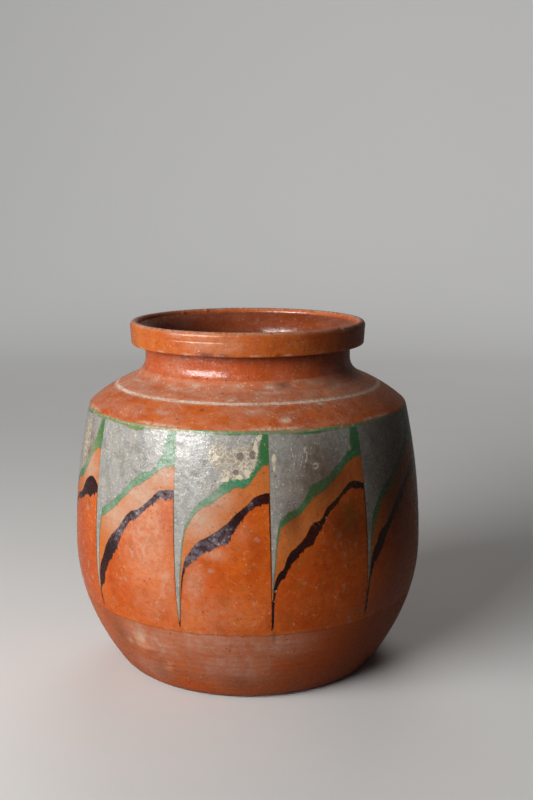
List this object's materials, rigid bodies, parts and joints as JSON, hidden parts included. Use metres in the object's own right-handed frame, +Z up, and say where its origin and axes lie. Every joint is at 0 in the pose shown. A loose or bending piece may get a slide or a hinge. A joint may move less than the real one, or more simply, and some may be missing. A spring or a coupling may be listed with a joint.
{
  "type": "painted terracotta pot",
  "caption": "Squat wide-mouthed terracotta pot with a strap rim, short neck and a combed slip coat in grey, green, ochre, brown and orange, for storing food.",
  "frame": {"origin": "middle of the flat standing face", "axes": "+Z up along the axis that the pot was turned on, -Y towards the viewer of the picture, +X to the viewer's right"},
  "size_m": [0.1753, 0.1751, 0.1731],
  "materials": {
    "bare_clay": "matt, dusty pinkish brown",
    "inside_glaze": "glossy dark red brown",
    "red_glaze": "satin to glossy, worn",
    "orange_slip": "satin",
    "brown_slip": "satin, worn grey in places",
    "ochre_slip": "satin",
    "green_slip": "satin",
    "grey_slip": "satin, speckled and flaking",
    "cream_slip": "worn through, matt"
  },
  "bodies": {
    "root": {"floor_disc": "bare_clay", "lower_wall": "bare_clay", "belly_wall": "inside_glaze", "shoulder_ring": "red_glaze", "neck_collar": "red_glaze", "rim_band": "red_glaze", "orange_ground_slip": "orange_slip", "brown_slip_trail": "brown_slip", "ochre_slip_band": "ochre_slip", "green_slip_trail": "green_slip", "grey_slip_band": "grey_slip", "green_shoulder_line": "green_slip", "cream_shoulder_line": "cream_slip"}
  },
  "joints": []
}
